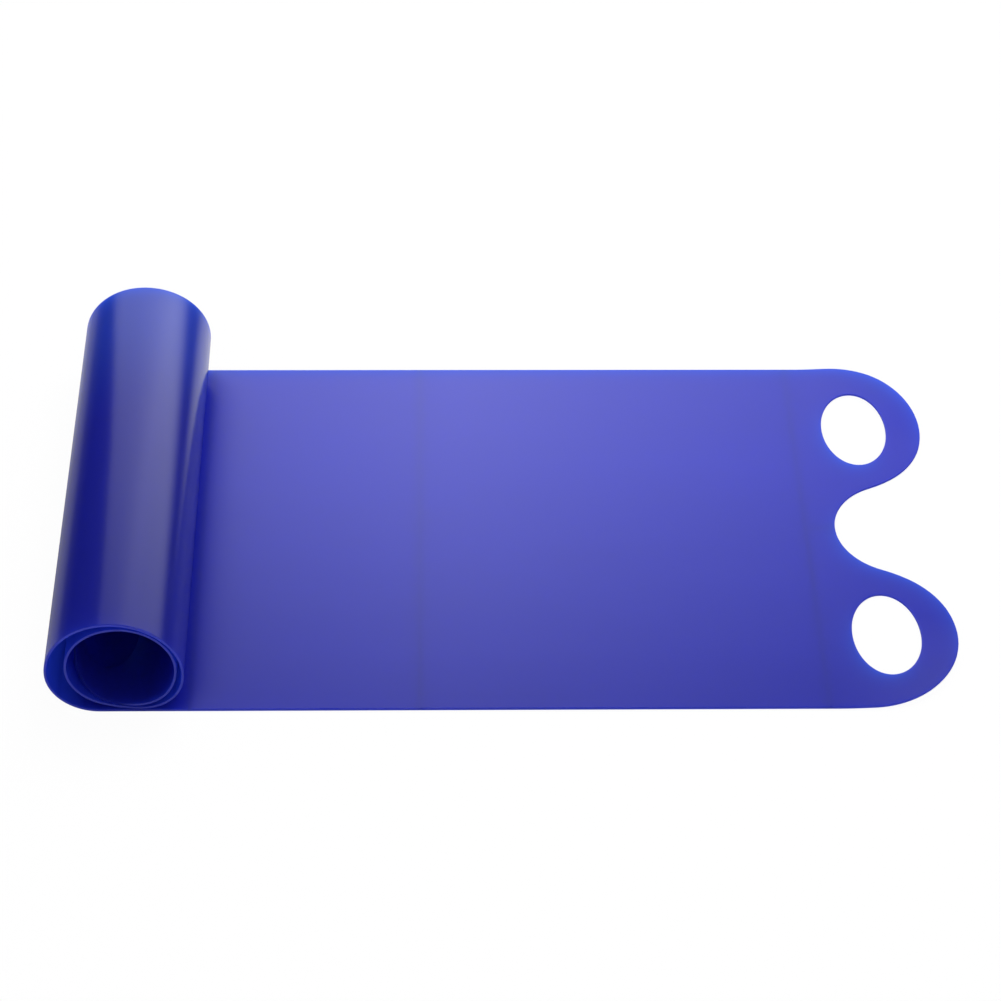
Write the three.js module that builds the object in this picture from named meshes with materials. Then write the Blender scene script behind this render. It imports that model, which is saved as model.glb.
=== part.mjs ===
// A flat elastic exercise strap: one sheet, 150 mm wide, rolled up at one end.
// The open end has two rounded lobes, each with an oval finger hole, and a scooped notch between them.
// The rolled end has the same two lobes, hidden on the inside of the roll.
// The sheet is divided at the lines where it bends, so each piece here is a panel of the same sheet.
// Millimetres. +X runs from the roll to the open end, +Z is up, and Y = 0 is the strap's middle line.
// The origin is on the underside of the sheet, below the middle of the roll.
import * as THREE from "three";

// Sheet
const WIDTH = 150;
const THICKNESS = 0.7;

// Open part, along X
const ROLL_START_X = -4.6; // where the sheet leaves the ground and starts to curl
const FOLD_X = 60; // line where the open part folds over
const STRETCH_X = 135; // line where the stretching length is divided
const NOTCH_X = 210.5; // deepest point of the notch
const LOBE_FLEX_X = 218; // line where a lobe bends

// Slots between panels
const FOLD_SLOT = 1.8; // wide enough for the two panels to fold 135 degrees
const STRETCH_SLOT = 0.3;
const LOBE_SLOT = 0.8; // wide enough for a lobe to bend 90 degrees
const COIL_SLOT = 0.45; // wide enough for two coil panels to straighten
const TIP_TRIM = 0.05; // off each inner lobe's tip, so that it ends in a narrow edge and not in a point
const SLIT = 0.3; // between two bars that the coil divides at a hole's middle or at the notch

// Finger holes, one in each lobe
const HOLE_FROM_NOTCH = 10.4; // along the strap, from the notch's deepest point to the hole's middle
const HOLE_SIDE = 45.6; // across the strap, from its middle line to the hole's middle
const HOLE_HALF_LENGTH = 10;
const HOLE_HALF_WIDTH = 16.7;

// The end's edge as arcs, from the notch's deepest point round one lobe to the strap's side.
// Each has a radius and the degrees it turns; a negative radius turns to the right.
const LOBE_ARCS = [
  [-19.8, 67],
  [38, 13],
  [27.7, 41.5],
  [31, 58],
];
const LAST_TURN = 44.5; // the last arc ends parallel to the strap's side, so its radius follows from the width

// The roll's middle line as arcs, from the ground up the left side and round to the inner end
const COIL_ARCS = [
  [14.3, 90],
  [19, 90],
  [19.6, 45],
  [18.3, 45],
  [17, 20],
  [11.8, 70],
  [33, 20],
  [13.9, 70],
  [15.4, 90],
  [15.2, 90],
  [17, 30],
  [11, 60],
  [25, 20],
  [12.6, 70],
  [14, 30],
];
const COIL_PANELS = 20; // full-width panels
const COIL_PANEL_TURN = 36; // degrees each turns through
const END_PANEL_TURN = 40; // degrees of each of the three panels that the inner lobes divide into
const CURVE_STEP = 6; // degrees between the ribs of a curved panel

const OPEN_COLOUR = 0x5256c2;
const LOBE_COLOUR = 0x4346b8;
const ROLL_COLOUR = 0x2a2a9a;
const INNER_COLOUR = 0x1c1f80;

const radians = THREE.MathUtils.degToRad;
const sheetMaterial = (color) => new THREE.MeshStandardMaterial({ color, roughness: 0.3, metalness: 0 });

const strap = new THREE.Group();
strap.name = "strap";
const openPart = new THREE.Group();
const coil = new THREE.Group();
strap.add(openPart, coil);

function addPanel(group, name, geometry, color) {
  const mesh = new THREE.Mesh(geometry, sheetMaterial(color));
  mesh.name = name;
  group.add(mesh);
}

// ---------- The end's outline ----------

// The lobe's edge as points (distance beyond the notch, distance from the middle line), and where its arcs end.
function lobeEdge() {
  const path = new THREE.Path();
  let x = 0;
  let y = 0;
  let heading = 90;
  const turn = (radius, degrees) => {
    const left = radius > 0;
    const size = Math.abs(radius);
    const out = radians(heading + (left ? 90 : -90));
    const next = heading + (left ? degrees : -degrees);
    const cx = x + size * Math.cos(out);
    const cy = y + size * Math.sin(out);
    const from = radians(heading + (left ? -90 : 90));
    const to = radians(next + (left ? -90 : 90));
    path.absarc(cx, cy, size, from, to, !left);
    x = cx + size * Math.cos(to);
    y = cy + size * Math.sin(to);
    heading = next;
  };
  for (const [radius, degrees] of LOBE_ARCS) turn(radius, degrees);
  const rest = WIDTH / 2 - y;
  turn(rest / (1 - Math.cos(radians(LAST_TURN))), LAST_TURN);
  return path.getPoints(10);
}

const EDGE = lobeEdge();
const TIP = EDGE.reduce((best, p) => (p.x > best.x ? p : best));
const LOBE_LENGTH = TIP.x;

// Where a stretch of the edge crosses a distance beyond the notch.
function crossing(points, u) {
  for (let i = 1; i < points.length; i++) {
    const a = points[i - 1];
    const b = points[i];
    if ((u - a.x) * (u - b.x) > 0 || a.x === b.x) continue;
    return a.y + ((u - a.x) / (b.x - a.x)) * (b.y - a.y);
  }
  return null;
}
const tipIndex = EDGE.indexOf(TIP);
const notchSide = (u) => (u <= 0 ? 0 : crossing(EDGE.slice(0, tipIndex + 1), u) ?? TIP.y);
const outerSide = (u) => (u <= EDGE.at(-1).x ? WIDTH / 2 : crossing(EDGE.slice(tipIndex), u) ?? TIP.y);

function holeHalf(u) {
  const share = (u - HOLE_FROM_NOTCH) / HOLE_HALF_LENGTH;
  return HOLE_HALF_WIDTH * Math.sqrt(Math.max(0, 1 - share * share));
}

// ---------- Open part: flat panels cut from the outline ----------

function flatPanel(shape) {
  return new THREE.ExtrudeGeometry(shape, { depth: THICKNESS, bevelEnabled: false, steps: 1 });
}

function rectangle(x0, x1) {
  const shape = new THREE.Shape();
  shape.moveTo(x0, -WIDTH / 2);
  shape.lineTo(x1, -WIDTH / 2);
  shape.lineTo(x1, WIDTH / 2);
  shape.lineTo(x0, WIDTH / 2);
  shape.closePath();
  return shape;
}

// A hole's edge between two angles, counted from +X, as points.
function holeArc(side, from, to, count = 20) {
  const points = [];
  for (let i = 0; i <= count; i++) {
    const a = from + ((to - from) * i) / count;
    const x = NOTCH_X + HOLE_FROM_NOTCH + HOLE_HALF_LENGTH * Math.cos(a);
    points.push(new THREE.Vector2(x, side * HOLE_SIDE + HOLE_HALF_WIDTH * Math.sin(a)));
  }
  return points;
}

// The angle on a hole's edge where it meets a line across the strap.
const holeAngle = (x) => Math.acos((x - NOTCH_X - HOLE_FROM_NOTCH) / HOLE_HALF_LENGTH);

// The panel that carries the notch and the roots of both lobes.
function endPanel() {
  const cut = LOBE_FLEX_X - LOBE_SLOT / 2;
  const u = cut - NOTCH_X;
  const start = STRETCH_X + STRETCH_SLOT / 2;
  const angle = holeAngle(cut);
  const notch = EDGE.slice(0, tipIndex).filter((p) => p.x < u);
  const notchFar = [...notch, new THREE.Vector2(u, notchSide(u))];
  const notchNear = notchFar.slice(1).map((p) => new THREE.Vector2(p.x, -p.y));
  const shift = (p) => new THREE.Vector2(p.x + NOTCH_X, p.y);
  const points = [
    new THREE.Vector2(start, -WIDTH / 2),
    new THREE.Vector2(cut, -outerSide(u)),
    ...holeArc(-1, 2 * Math.PI - angle, angle),
    ...notchNear.reverse().map(shift),
    ...notchFar.map(shift),
    ...holeArc(1, 2 * Math.PI - angle, angle),
    new THREE.Vector2(cut, outerSide(u)),
    new THREE.Vector2(start, WIDTH / 2),
  ];
  return new THREE.Shape(points);
}

// One lobe beyond the line where it bends. side is -1 for the near lobe and 1 for the far one.
function lobePanel(side) {
  const cut = LOBE_FLEX_X + LOBE_SLOT / 2;
  const u = cut - NOTCH_X;
  const angle = holeAngle(cut);
  const round = EDGE.filter((p, i) => p.x > u && (i < tipIndex ? p.y > notchSide(u) : true));
  const edge = [new THREE.Vector2(u, notchSide(u)), ...round, new THREE.Vector2(u, outerSide(u))];
  const outer = edge.map((p) => new THREE.Vector2(p.x + NOTCH_X, side * p.y));
  const hole = holeArc(side, side > 0 ? angle : -angle, side > 0 ? -angle : angle);
  const points = [...outer, ...hole];
  return new THREE.Shape(side > 0 ? points : points.reverse());
}

const rollSide = rectangle(ROLL_START_X + COIL_SLOT / 2, FOLD_X - FOLD_SLOT / 2);
const middle = rectangle(FOLD_X + FOLD_SLOT / 2, STRETCH_X - STRETCH_SLOT / 2);
addPanel(openPart, "roll_side_panel", flatPanel(rollSide), OPEN_COLOUR);
addPanel(openPart, "middle_panel", flatPanel(middle), OPEN_COLOUR);
addPanel(openPart, "end_panel", flatPanel(endPanel()), OPEN_COLOUR);
addPanel(openPart, "near_lobe", flatPanel(lobePanel(-1)), LOBE_COLOUR);
addPanel(openPart, "far_lobe", flatPanel(lobePanel(1)), LOBE_COLOUR);

// ---------- Roll: panels bent along the coil ----------

const COIL_LENGTH = COIL_ARCS.reduce((sum, [radius, degrees]) => sum + radius * radians(degrees), 0);

// The coil's middle line at a distance along the sheet: its place, and the degrees it has turned.
function coilAt(distance) {
  let x = ROLL_START_X;
  let z = THICKNESS / 2;
  let turned = 0;
  let left = distance;
  for (const [radius, degrees] of COIL_ARCS) {
    const length = radius * radians(degrees);
    const part = Math.min(left, length);
    const a = radians(turned);
    const b = a + part / radius;
    x -= radius * (Math.sin(b) - Math.sin(a));
    z += radius * (Math.cos(a) - Math.cos(b));
    turned = THREE.MathUtils.radToDeg(b);
    left -= part;
    if (left <= 0) break;
  }
  return { x, z, turned };
}

// The distance along the sheet at which the coil has turned through a number of degrees.
function coilDistance(turn) {
  let distance = 0;
  let left = turn;
  for (const [radius, degrees] of COIL_ARCS) {
    const part = Math.min(left, degrees);
    distance += radius * radians(part);
    left -= part;
    if (left <= 0) break;
  }
  return distance;
}

// A strip of the sheet bent along the coil, from one distance to another, between two edges across the strap.
function bentStrip(from, to, low, high) {
  const ribs = Math.max(2, Math.ceil((coilAt(to).turned - coilAt(from).turned) / CURVE_STEP));
  const geometry = new THREE.BoxGeometry(1, 1, 1, ribs, 1, 1);
  const place = geometry.getAttribute("position");
  for (let i = 0; i < place.count; i++) {
    const distance = from + (place.getX(i) + 0.5) * (to - from);
    const { x, z, turned } = coilAt(distance);
    const lift = -place.getZ(i) * THICKNESS; // the box's top becomes the strip's outside
    const across = low(distance) + (place.getY(i) + 0.5) * (high(distance) - low(distance));
    place.setXYZ(i, x + lift * Math.sin(radians(turned)), across, z + lift * Math.cos(radians(turned)));
  }
  return geometry;
}

const side = (value) => () => value;
const two = (number) => String(number).padStart(2, "0");

for (let i = 0; i < COIL_PANELS; i++) {
  const from = coilDistance(i * COIL_PANEL_TURN) + COIL_SLOT / 2;
  const to = coilDistance((i + 1) * COIL_PANEL_TURN) - COIL_SLOT / 2;
  const strip = bentStrip(from, to, side(-WIDTH / 2), side(WIDTH / 2));
  addPanel(coil, "coil_" + two(i + 1), strip, ROLL_COLOUR);
}

// The inner end's lobes, divided into three turns of the coil.
// The holes and the notch cut the first two into bars.
const notchAt = COIL_LENGTH - LOBE_LENGTH;
const full = COIL_PANELS * COIL_PANEL_TURN;
for (let i = 0; i < 3; i++) {
  const from = coilDistance(full + i * END_PANEL_TURN) + COIL_SLOT / 2;
  const last = i === 2;
  const turnEnd = coilDistance(full + (i + 1) * END_PANEL_TURN);
  const to = last ? COIL_LENGTH - TIP_TRIM : turnEnd - COIL_SLOT / 2;
  const inside = (d) => Math.max(SLIT / 2, notchSide(d - notchAt));
  const outside = (d) => outerSide(d - notchAt);
  const holeIn = (d) => HOLE_SIDE - Math.max(SLIT / 2, holeHalf(d - notchAt));
  const holeOut = (d) => HOLE_SIDE + Math.max(SLIT / 2, holeHalf(d - notchAt));
  const name = "coil_" + two(COIL_PANELS + 1 + i);
  const pieces = last
    ? [["", inside, outside]]
    : [
        ["_inner_bar", inside, holeIn],
        ["_outer_bar", holeOut, outside],
      ];
  for (const [suffix, low, high] of pieces) {
    const minus = (edge) => (d) => -edge(d);
    const near = bentStrip(from, to, minus(high), minus(low));
    addPanel(coil, name + "_far" + suffix, bentStrip(from, to, low, high), INNER_COLOUR);
    addPanel(coil, name + "_near" + suffix, near, INNER_COLOUR);
  }
}

export default strap;
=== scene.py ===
import math

import bpy
from mathutils import Matrix, Vector
from mathutils.geometry import delaunay_2d_cdt

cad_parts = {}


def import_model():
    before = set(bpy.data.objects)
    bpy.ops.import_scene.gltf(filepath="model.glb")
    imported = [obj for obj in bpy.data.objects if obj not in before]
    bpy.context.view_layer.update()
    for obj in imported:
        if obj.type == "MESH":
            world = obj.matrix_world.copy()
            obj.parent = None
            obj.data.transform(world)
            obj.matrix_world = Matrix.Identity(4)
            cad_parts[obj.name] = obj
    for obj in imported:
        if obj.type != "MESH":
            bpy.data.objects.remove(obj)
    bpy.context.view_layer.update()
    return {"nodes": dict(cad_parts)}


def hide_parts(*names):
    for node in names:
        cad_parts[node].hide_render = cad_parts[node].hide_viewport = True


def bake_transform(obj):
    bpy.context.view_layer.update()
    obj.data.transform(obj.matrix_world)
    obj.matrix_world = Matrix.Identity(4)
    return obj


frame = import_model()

# ---------- Sizes, in millimetres and degrees; they match the CAD part ----------

MM = 0.001
HALF_WIDTH = 75.0
THICKNESS = 0.7
EDGE_ROUND = 0.13  # rounding of the sheet's cut edge

ROLL_START = -4.6  # where the sheet leaves the ground, along X
FOLD_X = 60.0
FOLD_REACH = 3.0  # the sheet bends this far on each side of the fold
STRETCH_X = (88.0, 198.0)  # the part that stretches, along X
NOTCH_X = 210.5
LOBE_HINGE = 7.5  # a lobe bends about this distance beyond the notch
LOBE_REACH = 4.0  # and this far on each side of that line

# The middle of each grip hole, beyond the notch and from the strap's middle line, and half its sizes.
HOLE_FROM_NOTCH = 10.4
HOLE_SIDE = 45.6
HOLE_HALF_LENGTH = 10.0
HOLE_HALF_WIDTH = 16.7
HOLE_SIDES = 72

# The free corners of the open end lift off the ground, more and more from LIFT_X and LIFT_Y outwards.
CORNER_LIFT = 2.6
LIFT_X = 205.0
LIFT_LENGTH = 36.0
LIFT_Y = 40.0
LIFT_POWER = 1.5

# The end's edge, from the notch's deepest point round one lobe to the strap's side: (radius, degrees turned).
LOBE_ARCS = [(-19.8, 67), (38, 13), (27.7, 41.5), (31, 58)]
LAST_TURN = 44.5  # of the arc that runs into the strap's side

# The roll's middle line, from the ground round to the inner end: (radius, degrees turned).
COIL_ARCS = [
    (14.3, 90), (19, 90), (19.6, 45), (18.3, 45), (17, 20), (11.8, 70),
    (33, 20), (13.9, 70), (15.4, 90), (15.2, 90), (17, 30), (11, 60),
    (25, 20), (12.6, 70), (14, 30),
]
COIL_LENGTH = sum(radius * math.radians(degrees) for radius, degrees in COIL_ARCS)
PANEL_TURNS = [36] * 20 + [40] * 3  # degrees that each of the roll's rigid panels turns through
FULL_WIDTH_PANELS = 20

# Where the open part's pieces meet: two distances from the roll's start, and one from the notch.
ROLL_PIECE_END = 25.0
FOLD_PIECE_END = 90.0
LOBE_PIECE_START = -9.0

# Spacing of the meshes' points.
FLAT_STEP = 3.0
FOLD_STEP = 0.3
STRETCH_STEP = 2.0
OPEN_LOBE_STEP = 1.2
INNER_LOBE_STEP = 1.5
ACROSS_STEP = 10.0
SIDE_ROOMS = (0.0, 0.5, 1.0, 1.7, 2.6, 3.8, 5.5, 8.0)  # distances of rows from the strap's side
CUT_ROOM = 0.3  # least distance from an edge to a point on a dividing line
LINE_ROOM = 0.01  # least distance from an edge to the middle of a dividing line's stretch
SPACE_SHARE = 0.4  # least distance from an edge to an inner point, as a share of the step
LINE_SHARE = 0.3  # least distance from a dividing line to an inner point, as a share of the step
TINY = 1e-6

SHARP_ANGLE = 55.0  # a side between faces that meet at more than this looks sharp
START_BLEND = (-0.25, 1.25)  # where the roll's first bend starts and ends, in lengths of its first panel

# Light that enters the cut edges.
GLOW_DEPTH = 2.2  # how far it gets into the sheet
LIT_FROM = (0.45, 0.89)  # the way it comes from, along and across the sheet


# ---------- The sheet as a surface ----------
# d is the distance along the sheet from the start of the roll, positive towards the open end.

def coil_at(distance):
    """Middle line of the coil: x, z and the angle turned, in radians."""
    x, z, turned, left = ROLL_START, THICKNESS / 2, 0.0, distance
    for radius, degrees in COIL_ARCS:
        part = min(left, radius * math.radians(degrees))
        end = turned + part / radius
        x -= radius * (math.sin(end) - math.sin(turned))
        z += radius * (math.cos(turned) - math.cos(end))
        turned = end
        left -= part
        if left <= TINY:
            break
    return x, z, turned


def coil_distance(turn):
    """Distance along the sheet at which the coil has turned through some degrees."""
    distance, left = 0.0, turn
    for radius, degrees in COIL_ARCS:
        part = min(left, degrees)
        distance += radius * math.radians(part)
        left -= part
        if left <= TINY:
            break
    return distance


def coil_point(turn):
    """The coil's middle line at some degrees, in metres."""
    x, z, _ = coil_at(coil_distance(turn))
    return Vector((x * MM, 0, z * MM))


def lift(d, y):
    """How far the open end stands off the ground."""
    outward = max(0.0, abs(y) - LIFT_Y) / (HALF_WIDTH - LIFT_Y)
    along = max(0.0, ROLL_START + d - LIFT_X) / LIFT_LENGTH
    return CORNER_LIFT * outward ** LIFT_POWER * min(1.0, along) ** LIFT_POWER


def place(d, y, h):
    """Point of the sheet, in metres; h is the height above its middle surface."""
    if d >= 0:
        return ((ROLL_START + d) * MM, y * MM, (THICKNESS / 2 + h + lift(d, y)) * MM)
    x, z, turned = coil_at(-d)
    return ((x + h * math.sin(turned)) * MM, y * MM, (z + h * math.cos(turned)) * MM)


# ---------- Outlines ----------

def lobe_edge(step=4.0):
    """Points (distance beyond the notch, distance from the middle line) round one lobe."""
    points, x, y, heading = [(0.0, 0.0)], 0.0, 0.0, 90.0
    for radius, degrees in [*LOBE_ARCS, (None, LAST_TURN)]:
        if radius is None:
            radius = (HALF_WIDTH - y) / (1 - math.cos(math.radians(LAST_TURN)))
        sign = 1 if radius > 0 else -1
        count = max(2, round(degrees / step))
        a = math.radians(heading)
        for i in range(1, count + 1):
            b = math.radians(heading + sign * degrees * i / count)
            along = radius * (math.sin(b) - math.sin(a))
            across = radius * (math.cos(b) - math.cos(a))
            points.append((x + along, y - across))
        x, y = points[-1]
        heading += sign * degrees
    return points


EDGE = lobe_edge()
LOBE_LENGTH = max(u for u, y in EDGE)


def grip_hole():
    """Outline of the far grip hole, with the sheet on its left."""
    turns = [2 * math.pi * i / HOLE_SIDES for i in range(HOLE_SIDES)]
    along = [HOLE_FROM_NOTCH + HOLE_HALF_LENGTH * math.cos(turn) for turn in turns]
    across = [HOLE_SIDE - HOLE_HALF_WIDTH * math.sin(turn) for turn in turns]
    return list(zip(along, across))


def other_side(points):
    """The same outline on the strap's other side, running the same way round."""
    return [(u, -y) for u, y in reversed(points)]


def spread(low, high, step):
    """Evenly spaced values from low to high, no more than a step apart."""
    count = max(1, math.ceil(abs(high - low) / step - TINY))
    return [low + (high - low) * i / count for i in range(count + 1)]


def inside(point, loop):
    """Whether a point lies inside a closed outline."""
    x, y = point
    hit = False
    for (x1, y1), (x2, y2) in zip(loop, loop[1:] + loop[:1]):
        if (y1 > y) != (y2 > y) and x < (x2 - x1) * (y - y1) / (y2 - y1) + x1:
            hit = not hit
    return hit


def distance_to(point, loop):
    """Distance from a point to a closed outline."""
    px, py = point
    best = math.inf
    for (x1, y1), (x2, y2) in zip(loop, loop[1:] + loop[:1]):
        dx, dy = x2 - x1, y2 - y1
        t = max(0.0, min(1.0, ((px - x1) * dx + (py - y1) * dy) / max(TINY ** 2, dx * dx + dy * dy)))
        best = min(best, math.hypot(px - x1 - t * dx, py - y1 - t * dy))
    return best


def insets(loop, free):
    """For each vertex of a loop with the sheet on its left, the inward move that rounds its free sides."""
    out = []
    for i in range(len(loop)):
        normals = []
        for j in (i - 1, i):
            (x1, y1), (x2, y2) = loop[j], loop[(j + 1) % len(loop)]
            length = math.hypot(x2 - x1, y2 - y1)
            if free[j]:
                normals.append((-(y2 - y1) / length, (x2 - x1) / length))
        sx, sy = sum(n[0] for n in normals), sum(n[1] for n in normals)
        # the limit keeps a very sharp corner from moving too far
        size = max(0.5, (sx * sx + sy * sy) / max(1, len(normals)))
        out.append((sx / size, sy / size))
    return out


def split_at(loop, free, cuts):
    """The loop with a vertex added wherever it crosses a cut line."""
    points, flags = [], []
    for i, (x1, y1) in enumerate(loop):
        x2, y2 = loop[(i + 1) % len(loop)]
        points.append((x1, y1))
        flags.append(free[i])
        crossed = [c for c in cuts if min(x1, x2) + TINY < c < max(x1, x2) - TINY]
        for c in sorted(crossed, reverse=x2 < x1):
            points.append((c, y1 + (y2 - y1) * (c - x1) / (x2 - x1)))
            flags.append(free[i])
    return points, flags


def end_loops(root, cuts, step):
    """The end's outline and its two grip holes, each as its points and which of its sides are cut edges."""
    corner = EDGE[-1][0]
    half = EDGE + [(u, HALF_WIDTH) for u in spread(corner, root, step)[1:]]
    line = [(root, y) for y in spread(HALF_WIDTH, -HALF_WIDTH, step)[1:-1]]
    free = [True] * (len(half) - 1) + [False] * (len(line) + 1) + [True] * (len(half) - 1)
    hole = grip_hole()
    all_free = [True] * HOLE_SIDES
    return [
        split_at(half + line + other_side(half[1:]), free, cuts),
        split_at(hole, all_free, cuts),
        split_at(other_side(hole), all_free, cuts),
    ]


# ---------- Light in the cut edges ----------

def edge_glow(room, facing):
    """Closeness to a cut edge, from 0 to 1, for a distance to it and the way it faces."""
    return max(0.0, facing) * math.exp(-room / GLOW_DEPTH)


def glow_at(point, loops):
    """The strongest glow that a point gets from the free sides of some loops."""
    best = 0.0
    px, py = point
    for loop, free in loops:
        for i, (x1, y1) in enumerate(loop):
            x2, y2 = loop[(i + 1) % len(loop)]
            dx, dy = x2 - x1, y2 - y1
            length = math.hypot(dx, dy)
            facing = (dy * LIT_FROM[0] - dx * LIT_FROM[1]) / length
            if not free[i] or facing <= 0:
                continue
            t = max(0.0, min(1.0, ((px - x1) * dx + (py - y1) * dy) / length ** 2))
            best = max(best, edge_glow(math.hypot(px - x1 - t * dx, py - y1 - t * dy), facing))
    return best


# ---------- Building the sheet's pieces ----------

def open_sides(faces):
    """The directed sides that only one face has."""
    sides = set()
    for face in faces:
        for a, b in zip(face, face[1:] + face[:1]):
            if (b, a) in sides:
                sides.remove((b, a))
            else:
                sides.add((a, b))
    return sorted(sides)


def solid_piece(name, points, moves, faces, glow):
    """A closed piece from faces laid out on the sheet, seen from above, with its cut edges rounded.
    glow gives each point's closeness to an edge that faces the light."""
    used = sorted({i for face in faces for i in face})
    order = {v: i for i, v in enumerate(used)}
    half = THICKNESS / 2
    flat = [(points[v][0] + moves[v][0] * EDGE_ROUND, points[v][1] + moves[v][1] * EDGE_ROUND) for v in used]
    count = len(used)
    verts = [place(x, y, half) for x, y in flat] + [place(x, y, -half) for x, y in flat]
    sheet = [(x, y, glow[v], 0.0) for (x, y), v in zip(flat, used)] * 2
    polygons = [tuple(order[v] for v in face) for face in faces]
    polygons += [tuple(order[v] + count for v in reversed(face)) for face in faces]
    share = 1 - math.sin(math.pi / 4)  # of the rounding, halfway round it
    profile = [
        (share, half - share * EDGE_ROUND),
        (0.0, half - EDGE_ROUND),
        (0.0, EDGE_ROUND - half),
        (share, share * EDGE_ROUND - half),
    ]
    column = {}
    for a, b in open_sides(faces):
        for v in (a, b):
            if v in column:
                continue
            first = len(verts)
            (x, y), (mx, my) = points[v], moves[v]
            for part, h in profile:
                verts.append(place(x + mx * part * EDGE_ROUND, y + my * part * EDGE_ROUND, h))
                sheet.append((x, y, glow[v], 1.0))
            column[v] = [order[v], *range(first, first + len(profile)), order[v] + count]
        left, right = column[a], column[b]
        polygons += [(left[j], left[j + 1], right[j + 1], right[j]) for j in range(len(profile) + 1)]
    return finished_object(name, verts, polygons, sheet)


def finished_object(name, verts, polygons, sheet):
    """A smooth-shaded object. sheet gives each point's place along and across the sheet, its glow and whether
    it's on a cut edge."""
    mesh = bpy.data.meshes.new(name)
    mesh.from_pydata(verts, [], polygons)
    mesh.validate()
    for k, label in enumerate(("along", "across", "glow", "cut")):
        values = mesh.attributes.new(label, "FLOAT", "POINT")
        values.data.foreach_set("value", [point[k] for point in sheet])
    mesh.polygons.foreach_set("use_smooth", [True] * len(mesh.polygons))
    mesh.set_sharp_from_angle(angle=math.radians(SHARP_ANGLE))
    obj = bpy.data.objects.new(name, mesh)
    bpy.context.scene.collection.objects.link(obj)
    shading = obj.modifiers.new("face weights", "WEIGHTED_NORMAL")
    shading.keep_sharp = True
    return obj


def band_rows():
    """Places across the strap, closer together towards its sides."""
    near_side = [HALF_WIDTH - room for room in SIDE_ROOMS]
    inner = spread(-near_side[-1], near_side[-1], ACROSS_STEP)
    return [-y for y in near_side[:-1]] + inner + near_side[-2::-1]


def band_piece(name, columns):
    """A full-width piece between two lines across the strap."""
    rows = band_rows()
    wide, tall = len(columns), len(rows)
    points = [(d, y) for d in columns for y in rows]
    inward = [1.0] + [0.0] * (tall - 2) + [-1.0]
    moves = [(0.0, move) for d in columns for move in inward]
    faces = [
        [i * tall + j, (i + 1) * tall + j, (i + 1) * tall + j + 1, i * tall + j + 1]
        for i in range(wide - 1)
        for j in range(tall - 1)
    ]
    glow = [edge_glow(HALF_WIDTH - y, LIT_FROM[1]) for d, y in points]
    return solid_piece(name, points, moves, faces, glow)


def coil_columns(turn_from, turn_to, step=1.0):
    """Columns between two angles of the coil, as negative distances in increasing order."""
    return sorted(-coil_distance(t) for t in spread(turn_from, turn_to, step))


def in_hole(point, shapes):
    """Whether a point lies in a grip hole. shapes are the end's outline and its holes."""
    return any(inside(point, hole) for hole in shapes[1:])


def on_sheet(point, shapes, room):
    """Whether a point lies on the end, further than some distance from all its edges."""
    if not inside(point, shapes[0]) or in_hole(point, shapes):
        return False
    return min(distance_to(point, shape) for shape in shapes) > room


def end_points(shapes, root, cuts, step):
    """Points all over the end, and the sides that its faces have to keep. The outlines' points come first."""
    points, edges = [], []
    for shape in shapes:
        first, size = len(points), len(shape)
        points += shape
        edges += [(first + i, first + (i + 1) % size) for i in range(size)]
    rows = spread(-HALF_WIDTH, HALF_WIDTH, step)
    for cut in cuts:
        points += [(cut, y) for y in rows if on_sheet((cut, y), shapes, CUT_ROOM)]
        line = sorted((y, i) for i, (u, y) in enumerate(points) if abs(u - cut) < TINY)
        for (y1, a), (y2, b) in zip(line, line[1:]):
            if on_sheet((cut, (y1 + y2) / 2), shapes, LINE_ROOM):
                edges.append((a, b))
    if not cuts:
        ends = [i for i, (u, y) in enumerate(points) if abs(y) < TINY and u < TINY]
        first = len(points)
        points += [(u, 0.0) for u in spread(root, 0.0, step)[1:-1]]
        line = sorted([*ends, *range(first, len(points))], key=lambda i: points[i][0])
        edges += list(zip(line, line[1:]))
    taken = {(round(u, 4), round(y, 4)) for u, y in points}
    for u in spread(root, LOBE_LENGTH, step)[1:-1]:
        if min([abs(u - cut) for cut in cuts], default=math.inf) < LINE_SHARE * step:
            continue
        for y in rows[1:-1]:
            if on_sheet((u, y), shapes, SPACE_SHARE * step) and (round(u, 4), round(y, 4)) not in taken:
                points.append((u, y))
    return points, edges


def end_faces(points, moves, edges):
    """Triangles between the points, moved in to round the edges, as lists of the points' numbers."""
    flat = [Vector((x + mx * EDGE_ROUND, y + my * EDGE_ROUND)) for (x, y), (mx, my) in zip(points, moves)]
    _, _, faces, originals, _, _ = delaunay_2d_cdt(flat, edges, [], 1, TINY)
    return [[originals[i][0] for i in face] for face in faces]


def end_pieces(names, base, sign, root, cuts, step, belongs):
    """The lobed end as solid pieces. Distances u run from the notch's deepest point towards the tips.
    base is the notch's place along the sheet, sign the direction of u, root where the end starts, cuts its
    dividing lines across the strap, and belongs gives the piece of a face from its middle. Without cuts, the
    pieces part along the strap's middle line."""
    loops = end_loops(root, cuts, step)
    shapes = [points for points, flags in loops]
    points, edges = end_points(shapes, root, cuts, step)
    moves = [move for shape, flags in loops for move in insets(shape, flags)]
    moves += [(0.0, 0.0)] * (len(points) - len(moves))
    groups = {}
    for face in end_faces(points, moves, edges):
        middle = [sum(points[i][k] for i in face) / len(face) for k in (0, 1)]
        if not in_hole(middle, shapes):
            groups.setdefault(belongs(*middle), []).append(face if sign > 0 else face[::-1])
    placed = [(base + sign * u, y) for u, y in points]
    turned = [(sign * mx, my) for mx, my in moves]
    glow = [glow_at(p, loops) for p in points]
    return [solid_piece(name, placed, turned, groups[name], glow) for name in names]


# ---------- The strap ----------

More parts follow.
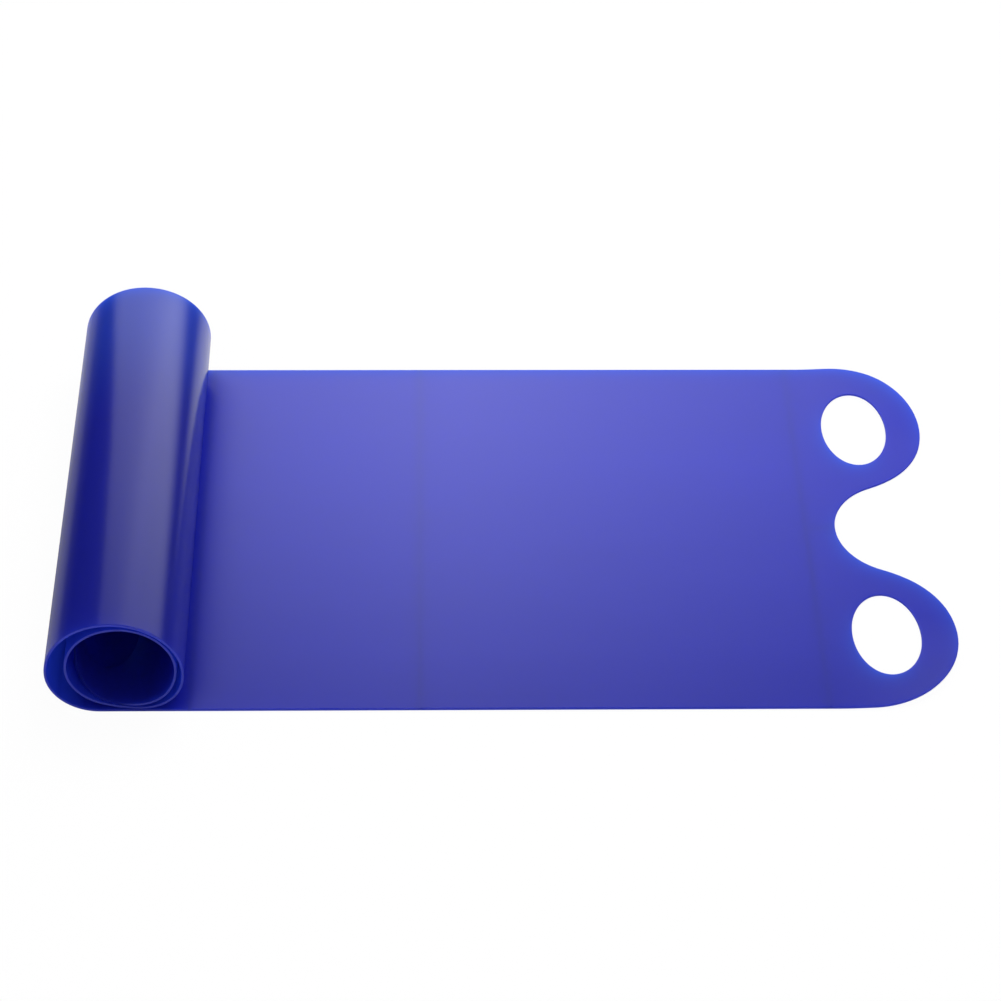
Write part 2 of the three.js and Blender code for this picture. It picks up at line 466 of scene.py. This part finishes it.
def blend_ends(a, b, share_a, share_b):
    """Start and end of a blend that bends by given shares of its angle at two points."""
    t_a, t_b = (0.5 - math.sin(math.asin(1 - 2 * share) / 3) for share in (share_a, share_b))
    whole = (b - a) / (t_b - t_a)
    start = a - whole * t_a
    return start, start + whole


def panel_blend(lines, middles, k):
    """Start and end of the blend from panel k to panel k + 1 of the roll. lines are the points of its bending
    lines. Unrolled, the blend lays the middles of both panels level with them."""
    hinge = lines[k]
    before, beyond = middles[k - 1] - hinge, middles[k] - hinge
    last_chord, next_chord = lines[k - 1] - hinge, lines[k + 1] - hinge
    bend = math.pi - last_chord.angle(next_chord)
    shares = before.angle(last_chord) / bend, 1 - beyond.angle(next_chord) / bend
    return blend_ends(hinge + before, hinge + beyond, *shares)


def flat_blend(piece, body_a, body_b, low, high):
    """Bakes a flat piece's placement into its mesh."""
    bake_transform(piece)


def roll_name(k):
    return "sheet_roll_%02d" % k


def inner_end(middles):
    """The roll's inner end, with its hidden lobes: the same shape as the open end."""
    base = LOBE_LENGTH - COIL_LENGTH
    root, *cuts = [coil_distance(turn) + base for turn in middles[FULL_WIDTH_PANELS - 1:-1]]
    names = [roll_name(k) for k in range(FULL_WIDTH_PANELS, len(PANEL_TURNS))]

    def belongs(u, y):
        return names[sum(u > cut for cut in cuts)]

    return end_pieces(names, base, -1, root, cuts, INNER_LOBE_STEP, belongs)


def build_roll():
    """Each piece runs from the middle of one rigid panel to the middle of the next."""
    line_turns = [sum(PANEL_TURNS[:k]) for k in range(len(PANEL_TURNS) + 1)]
    middles = [(a + b) / 2 for a, b in zip(line_turns, line_turns[1:])]
    lines = [coil_point(turn) for turn in line_turns]
    middle_points = [coil_point(turn) for turn in middles]

    # where the open part turns up into the roll
    columns = coil_columns(0, middles[0]) + spread(0.0, ROLL_PIECE_END, FLAT_STEP)[1:]
    start = band_piece("sheet_roll_start", columns)
    panel = (middle_points[0] - lines[0]) * 2
    first, last = (lines[0] + panel * share for share in START_BLEND)
    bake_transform(start)
    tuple(first)
    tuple(last)
    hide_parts("roll_side_panel")

    bands = [
        band_piece(roll_name(k), coil_columns(middles[k - 1], middles[k]))
        for k in range(1, FULL_WIDTH_PANELS)
    ]
    bands += inner_end(middles)
    for k, piece in enumerate(bands, 1):
        first, last = panel_blend(lines, middle_points, k)
        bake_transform(piece)
        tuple(first)
        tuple(last)
        shown = [k, k + 1] if k == len(bands) else [k]
        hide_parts(*[n for n in frame["nodes"] for s in shown if n.startswith("coil_%02d" % s)])
    return [start, *bands]


def build_open_part():
    """The flat part, with its fold and its stretching zone, and the two lobes."""
    crease, notch = FOLD_X - ROLL_START, NOTCH_X - ROLL_START
    columns = spread(ROLL_PIECE_END, crease - FOLD_REACH, FLAT_STEP)
    columns += spread(crease - FOLD_REACH, crease + FOLD_REACH, FOLD_STEP)[1:]
    columns += spread(crease + FOLD_REACH, FOLD_PIECE_END, FLAT_STEP)[1:]
    fold = band_piece("sheet_fold", columns)
    flat_blend(fold, "open_part", "middle", FOLD_X - FOLD_REACH, FOLD_X + FOLD_REACH)
    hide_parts("middle_panel")

    stretch = band_piece("sheet_stretch", spread(FOLD_PIECE_END, notch + LOBE_PIECE_START, STRETCH_STEP))
    flat_blend(stretch, "middle", "open_end", *STRETCH_X)
    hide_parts("end_panel")

    names = ["sheet_lobe_near", "sheet_lobe_far"]

    def belongs(u, y):
        return names[y > 0]

    lobes = end_pieces(names, notch, 1, LOBE_PIECE_START, [], OPEN_LOBE_STEP, belongs)
    for lobe, body in zip(lobes, ("near_lobe", "far_lobe")):
        hinge = NOTCH_X + LOBE_HINGE
        flat_blend(lobe, "open_end", body, hinge - LOBE_REACH, hinge + LOBE_REACH)
        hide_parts(body)
    return [fold, stretch, *lobes]


# ---------- Shader nodes ----------

def new_material(name):
    material = bpy.data.materials.new(name)
    material.use_nodes = True
    return material, material.node_tree


def add_node(tree, kind, **inputs):
    """A shader node with some of its inputs set; an input can be a value or another node's output."""
    made = tree.nodes.new("ShaderNode" + kind)
    for label, value in inputs.items():
        feed(tree, made.inputs[label], value)
    return made


def feed(tree, socket, value):
    """Sets an input to a value, or links it to another node's output."""
    if isinstance(value, bpy.types.NodeSocket):
        tree.links.new(value, socket)
    elif isinstance(value, tuple) and len(value) == 3 and socket.type == "RGBA":
        socket.default_value = (*value, 1.0)
    else:
        socket.default_value = value


def attribute(tree, name):
    made = tree.nodes.new("ShaderNodeAttribute")
    made.attribute_name = name
    return made.outputs["Fac"]


def math_node(tree, operation, *values):
    made = tree.nodes.new("ShaderNodeMath")
    made.operation = operation
    for socket, value in zip(made.inputs, values):
        feed(tree, socket, value)
    return made.outputs["Value"]


def add(tree, a, b):
    return math_node(tree, "ADD", a, b)


def times(tree, a, b):
    return math_node(tree, "MULTIPLY", a, b)


def without(tree, value, share):
    """A number less some share of itself."""
    return times(tree, value, math_node(tree, "SUBTRACT", 1.0, share))


def vary(tree, value, middle, swing):
    """A number that wanders round its middle as a noise value does round one half."""
    return math_node(tree, "MULTIPLY_ADD", value, swing, middle - swing / 2)


def remap(tree, value, low, high, to_low, to_high, smooth=False):
    """Takes low to to_low and high to to_high, with the values between them in between."""
    made = tree.nodes.new("ShaderNodeMapRange")
    made.interpolation_type = "SMOOTHSTEP" if smooth else "LINEAR"
    feed(tree, made.inputs["Value"], value)
    for label, number in (("From Min", low), ("From Max", high), ("To Min", to_low), ("To Max", to_high)):
        made.inputs[label].default_value = number
    return made.outputs["Result"]


def blend_colours(tree, share, a, b):
    made = tree.nodes.new("ShaderNodeMix")
    made.data_type = "RGBA"
    for index, value in ((0, share), (6, a), (7, b)):
        feed(tree, made.inputs[index], value)
    return made.outputs[2]


def darkened(tree, colour, level):
    return add_node(tree, "HueSaturation", Color=colour, Value=level).outputs["Color"]


def world_place(tree):
    return tree.nodes.new("ShaderNodeNewGeometry").outputs["Position"]


def position(tree):
    """The world place's X, Y and Z, in metres."""
    return add_node(tree, "SeparateXYZ", Vector=world_place(tree)).outputs


def sheet_noise(tree, along_scale, across_scale, detail):
    """Noise that stays on the sheet when it bends."""
    along = times(tree, attribute(tree, "along"), along_scale)
    across = times(tree, attribute(tree, "across"), across_scale)
    spot = add_node(tree, "CombineXYZ", X=along, Y=across).outputs[0]
    return add_node(tree, "TexNoise", Vector=spot, Scale=1.0, Detail=detail).outputs["Fac"]


# ---------- The sheet's material ----------

DEEP_BLUE = (0.006, 0.008, 0.155)  # several layers, or a layer with nothing behind it
BACKED_BLUE = (0.009, 0.014, 0.270)  # painted light: one layer lying on a pale surface, whose light shows back through it
GLOW_BLUE = (0.030, 0.120, 0.52)  # light that has travelled inside the sheet
CUT_BLUE = (0.030, 0.034, 0.26)  # the cut edge, slightly rough
THROUGH_BLUE = (0.07, 0.125, 0.475)  # light that comes through one face of the sheet

# Waves for each mm along and across the sheet, and detail.
STREAKS = (0.012, 0.05, 3.0)
CLOUDS = (0.035, 0.035, 2.0)
GRAIN = (1.1, 1.1, 2.0)
RIPPLES = (0.02, 0.07, 0.0)
STREAK_SWING = 0.10
CLOUD_SWING = 0.08

INNER_END = (-204.0, -199.0)  # mm along the sheet: further in than this, the cut edges are in the dark
NEAR_SIDE = (-75.0, 30.0)  # mm across the sheet: painted shade makes it darker from the second to the first
FAR_END = (10.0, 75.0)  # mm across the sheet: the roll gets lighter from the first to the second
LYING = (0.0009, 0.0030)  # metres: below the first it lies on the ground, above the second it's raised
SHELTER_REACH = 0.06  # metres: what stands nearer than this takes light from the sheet
SHADED = (0.55, 0.95)  # share of the sky seen: the paper under the sheet goes from shaded to fully lit
DULLED = (0.55, 0.75)  # share of the sky seen: the sheet goes from dull to glossy

# Levels of painted shade, as shares of the full one.
SHADED_PAPER = 0.62
NEAR_SIDE_PAPER = 0.72
NEAR_SIDE_SHADE = 0.80
HIDDEN_CUT_LIGHT = 0.45

# Strengths of the colours that are laid over the blue.
GLOW_SHARE = 0.55
FAR_END_SHARE = 0.20
CUT_SHARE = 0.6

GLOSS = 0.5
GLOSS_LOST_BY_ROLL = 0.33
GLOSS_LOST_AT_EDGE = 0.30
GLOSS_LOST_TWICE_MIRRORED = 0.22
ROUGHNESS = 0.215
ROUGHNESS_SWING = 0.03
CUT_ROUGHNESS = 0.25  # on top of the faces' roughness
REFRACTION = 1.5
RELIEF_STRENGTH = 0.25
RELIEF_DEPTH = 0.0001  # metres
GRAIN_SHARE = 0.04


def sheet_colour(tree, lying, open_sky, streaks, clouds, cut, open_part):
    """Blue, deeper where the sheet is raised and lighter where a pale surface shows through it, which is
    painted light; painted shade beside the roll and towards the near side dims it.
    """
    across = attribute(tree, "across")
    # painted shade: the pale surface under the sheet gives less light beside the roll and towards the near
    # side
    paper = remap(tree, open_sky, *SHADED, SHADED_PAPER, 1.0)
    paper = times(tree, paper, remap(tree, across, *NEAR_SIDE, NEAR_SIDE_PAPER, 1.0))
    # painted light: lying on the ground, the sheet takes the lighter blue, as if lit by the pale surface
    # under it
    body = blend_colours(tree, times(tree, lying, paper), DEEP_BLUE, BACKED_BLUE)
    glow = times(tree, times(tree, attribute(tree, "glow"), open_part), GLOW_SHARE)
    body = blend_colours(tree, glow, body, GLOW_BLUE)
    # the raised roll takes in light at its far end
    far_end = remap(tree, across, *FAR_END, 0.0, FAR_END_SHARE, smooth=True)
    body = blend_colours(tree, without(tree, far_end, lying), body, GLOW_BLUE)
    # the thickness varies a little, mostly along the sheet as it was rolled out
    shade = times(tree, vary(tree, streaks, 1.0, STREAK_SWING), vary(tree, clouds, 1.0, CLOUD_SWING))
    # painted shade: the sheet is darker towards the near side
    shade = times(tree, shade, remap(tree, across, *NEAR_SIDE, NEAR_SIDE_SHADE, 1.0))
    # painted shade: deep in the roll the cut edges keep the body's darker blue
    bare = times(tree, times(tree, cut, CUT_SHARE), open_part)
    return blend_colours(tree, bare, darkened(tree, body, shade), CUT_BLUE)


def sheet_gloss(tree, lying, open_sky, hidden_cut):
    """How much the sheet mirrors."""
    # beside the roll the sheet mirrors little, as the roll stands in the way
    lost = times(tree, lying, remap(tree, open_sky, *DULLED, GLOSS_LOST_BY_ROLL, 0.0))
    # the sheet turns away from the soft box along the edges that glow
    lost = add(tree, lost, times(tree, attribute(tree, "glow"), GLOSS_LOST_AT_EDGE))
    # what the roll mirrors of the sheet beside it shows little gloss
    rays = tree.nodes.new("ShaderNodeLightPath").outputs
    lost = add(tree, lost, times(tree, rays["Is Glossy Ray"], GLOSS_LOST_TWICE_MIRRORED))
    return without(tree, math_node(tree, "SUBTRACT", GLOSS, lost), hidden_cut)


def sheet_relief(tree):
    """Slow ripples with a fine grain on them."""
    grain = times(tree, sheet_noise(tree, *GRAIN), GRAIN_SHARE)
    height = add(tree, grain, sheet_noise(tree, *RIPPLES))
    bump = add_node(tree, "Bump", Height=height, Strength=RELIEF_STRENGTH, Distance=RELIEF_DEPTH)
    return bump.outputs["Normal"]


def sheet_material():
    """Smooth, slightly see-through thermoplastic elastomer."""
    material, tree = new_material("sheet")
    cut = attribute(tree, "cut")
    streaks, clouds = sheet_noise(tree, *STREAKS), sheet_noise(tree, *CLOUDS)
    lying = remap(tree, position(tree)["Z"], *LYING, 1.0, 0.0, smooth=True)
    open_sky = add_node(tree, "AmbientOcclusion", Distance=SHELTER_REACH).outputs["AO"]
    open_part = remap(tree, attribute(tree, "along"), *INNER_END, 0.0, 1.0)
    hidden_cut = without(tree, cut, open_part)
    roughness = add(tree, vary(tree, clouds, ROUGHNESS, ROUGHNESS_SWING), times(tree, cut, CUT_ROUGHNESS))
    shader = tree.nodes["Principled BSDF"]
    for label, value in (
        ("Base Color", sheet_colour(tree, lying, open_sky, streaks, clouds, cut, open_part)),
        ("Specular IOR Level", sheet_gloss(tree, lying, open_sky, hidden_cut)),
        ("Roughness", roughness),
        ("IOR", REFRACTION),
        ("Normal", sheet_relief(tree)),
    ):
        feed(tree, shader.inputs[label], value)
    # painted shade: the cut edges deep in the roll let less light through
    dimmed = remap(tree, hidden_cut, 0.0, 1.0, 1.0, HIDDEN_CUT_LIGHT)
    through = add_node(tree, "BsdfTranslucent", Color=darkened(tree, THROUGH_BLUE, dimmed))
    both = tree.nodes.new("ShaderNodeAddShader")
    tree.links.new(shader.outputs[0], both.inputs[0])
    tree.links.new(through.outputs[0], both.inputs[1])
    tree.links.new(both.outputs[0], tree.nodes["Material Output"].inputs["Surface"])
    return material


# ---------- Stage, in metres and degrees ----------

CAMERA_PLACE = (0.08623, -0.67281, 0.61830)
CAMERA_DOWN = 42.0  # below the horizon
CAMERA_YAW = 1.975  # to the right of +Y
CAMERA_ROLL = 1.213
CAMERA_LENS = 109.29  # mm
SENSOR_WIDTH = 36.0  # mm

FLOOR_REACH = 4.0
FLOOR_HEIGHT = -0.0002
FLOOR_CLEARNESS = 0.96  # to the camera
WHITE_PAPER = (0.9, 0.9, 0.9)

# How bright the paper is in the strap's gloss: it fades with distance from a bright spot behind the roll, and
# is evenly lit on the roll's left.
BRIGHT_SPOT = (0.045, 0.085, 0.0)
BRIGHT_REACH = 0.165
DIM_LEVEL = 0.06
LEFT_LEVEL = 0.37
LEFT_RISE = (-0.14, -0.065)
LEFT_STOP = (-0.03, -0.02)

SOFT_BOX_X = (-0.128, 0.40)
SOFT_BOX_Y = 0.23
SOFT_BOX_Z = (0.04, 0.437)
SOFT_BOX_LEVEL = 2.75
SOFT_BOX_RAMPS = (  # along an axis, from and to, with the level at both, and whether it eases in and out
    ("X", -0.13, 0.10, 0.40, 1.0, False),
    ("X", 0.10, 0.32, 1.0, 0.3, False),
    ("Z", 0.040, 0.108, 0.0, 1.0, True),
    ("Z", 0.13, 0.437, 1.0, 0.0, False),
)

WORLD_LEVEL = 0.78
WORLD_PANEL_LEVEL = 0.8
WORLD_PANEL_RAMPS = (("Y", 0.45, 0.15), ("Z", 0.08, 0.30), ("Z", 0.80, 0.60))  # directions, from dark to lit


def camera():
    """Looks down at the strap, turned a little to the right and rolled a little."""
    data = bpy.data.cameras.new("camera")
    data.lens = CAMERA_LENS
    data.sensor_width = SENSOR_WIDTH
    cam = bpy.data.objects.new("camera", data)
    bpy.context.scene.collection.objects.link(cam)
    down, yaw, roll = (math.radians(angle) for angle in (CAMERA_DOWN, CAMERA_YAW, CAMERA_ROLL))
    forward = Vector((math.sin(yaw) * math.cos(down), math.cos(yaw) * math.cos(down), -math.sin(down)))
    right = Vector((math.cos(yaw), -math.sin(yaw), 0))
    up = right.cross(forward)
    side = right * math.cos(roll) + up * math.sin(roll)
    top = up * math.cos(roll) - right * math.sin(roll)
    rows = [(side[i], top[i], -forward[i], CAMERA_PLACE[i]) for i in range(3)]
    cam.matrix_world = Matrix((*rows, (0, 0, 0, 1)))
    bpy.context.scene.camera = cam


def stage_material(name):
    """A material with nothing but its output node."""
    material, tree = new_material(name)
    tree.nodes.remove(tree.nodes["Principled BSDF"])
    return material, tree, tree.nodes["Material Output"].inputs["Surface"]


def stage_sheet(name, corners, material):
    """A four-cornered piece of the set, which isn't part of the object."""
    mesh = bpy.data.meshes.new(name)
    mesh.from_pydata(corners, [], [(0, 1, 2, 3)])
    mesh.materials.append(material)
    obj = bpy.data.objects.new(name, mesh)
    bpy.context.scene.collection.objects.link(obj)
    return obj


def mirrored_paper(tree):
    """How bright the paper is in the strap's gloss."""
    away = tree.nodes.new("ShaderNodeVectorMath")
    away.operation = "DISTANCE"
    tree.links.new(world_place(tree), away.inputs[0])
    away.inputs[1].default_value = BRIGHT_SPOT
    behind = remap(tree, away.outputs["Value"], 0.0, BRIGHT_REACH, 1.0, DIM_LEVEL, smooth=True)
    x = position(tree)["X"]
    left = remap(tree, x, *LEFT_RISE, DIM_LEVEL, LEFT_LEVEL, smooth=True)
    left = times(tree, left, remap(tree, x, *LEFT_STOP, 1.0, 0.0))
    return math_node(tree, "MAXIMUM", behind, left)


def floor():
    """White paper. The camera sees it only faintly against the white world, so that a part of the strap that
    hangs down past the floor still shows."""
    material, tree, surface = stage_material("floor")
    rays = tree.nodes.new("ShaderNodeLightPath").outputs
    paper = add_node(tree, "BsdfDiffuse", Color=WHITE_PAPER)
    seen = add_node(tree, "MixShader", Fac=FLOOR_CLEARNESS)
    tree.links.new(paper.outputs[0], seen.inputs[1])
    tree.links.new(tree.nodes.new("ShaderNodeBsdfTransparent").outputs[0], seen.inputs[2])
    mirrored = add_node(tree, "Emission", Strength=mirrored_paper(tree))
    for ray, shader in ((rays["Is Camera Ray"], seen), (rays["Is Glossy Ray"], mirrored)):
        choice = add_node(tree, "MixShader", Fac=ray)
        tree.links.new(paper.outputs[0], choice.inputs[1])
        tree.links.new(shader.outputs[0], choice.inputs[2])
        paper = choice
    tree.links.new(paper.outputs[0], surface)
    r, z = FLOOR_REACH, FLOOR_HEIGHT
    return stage_sheet("floor", [(-r, -r, z), (r, -r, z), (r, r, z), (-r, r, z)], material)


def soft_box():
    """The lit panel behind the strap that its gloss mirrors. It fades towards its sides, top and foot."""
    material, tree, surface = stage_material("soft box")
    spot = position(tree)
    level = SOFT_BOX_LEVEL
    for axis, *ramp in SOFT_BOX_RAMPS:
        level = times(tree, remap(tree, spot[axis], *ramp), level)
    tree.links.new(add_node(tree, "Emission", Strength=level).outputs[0], surface)
    (left, right), (foot, top), back = SOFT_BOX_X, SOFT_BOX_Z, SOFT_BOX_Y
    corners = [(left, back, foot), (right, back, foot), (right, back, top), (left, back, top)]
    obj = stage_sheet("soft box", corners, material)
    obj.visible_camera = False
    obj.visible_diffuse = False
    obj.visible_transmission = False
    obj.visible_shadow = False
    return obj


def area(name, location, target, size, power):
    """A soft lamp that lights the strap but isn't mirrored in it."""
    data = bpy.data.lights.new(name, "AREA")
    data.shape = "DISK"
    data.size = size
    data.energy = power
    obj = bpy.data.objects.new(name, data)
    bpy.context.scene.collection.objects.link(obj)
    obj.location = location
    direction = Vector(target) - Vector(location)
    obj.rotation_mode = "QUATERNION"
    obj.rotation_quaternion = direction.to_track_quat("-Z", "Y")
    obj.visible_glossy = False
    return obj


def world():
    """Even light from all round. The strap mirrors none of it, except a soft panel at its sides and front."""
    scene = bpy.context.scene
    scene.world = scene.world or bpy.data.worlds.new("world")
    scene.world.use_nodes = True
    tree = scene.world.node_tree
    rays = add_node(tree, "LightPath").outputs
    level = remap(tree, rays["Is Camera Ray"], 0.0, 1.0, WORLD_LEVEL, 1.0)
    view = tree.nodes.new("ShaderNodeTexCoord").outputs["Generated"]
    way = add_node(tree, "SeparateXYZ", Vector=view).outputs
    mirrored = WORLD_PANEL_LEVEL
    for axis, *ramp in WORLD_PANEL_RAMPS:
        mirrored = times(tree, remap(tree, way[axis], *ramp, 0.0, 1.0, smooth=True), mirrored)
    share = add_node(tree, "Mix", Factor=rays["Is Glossy Ray"], A=level, B=mirrored)
    back = tree.nodes["Background"]
    back.inputs["Color"].default_value = (1, 1, 1, 1)
    tree.links.new(share.outputs["Result"], back.inputs["Strength"])


skin = sheet_material()
for piece in build_roll() + build_open_part():
    piece.data.materials.append(skin)
camera()
floor()
soft_box()
world()
area("high lamp", location=(0.25, 0.30, 0.65), target=(0.1, 0, 0), size=0.5, power=3.0)
bpy.context.scene.view_settings.view_transform = "Standard"
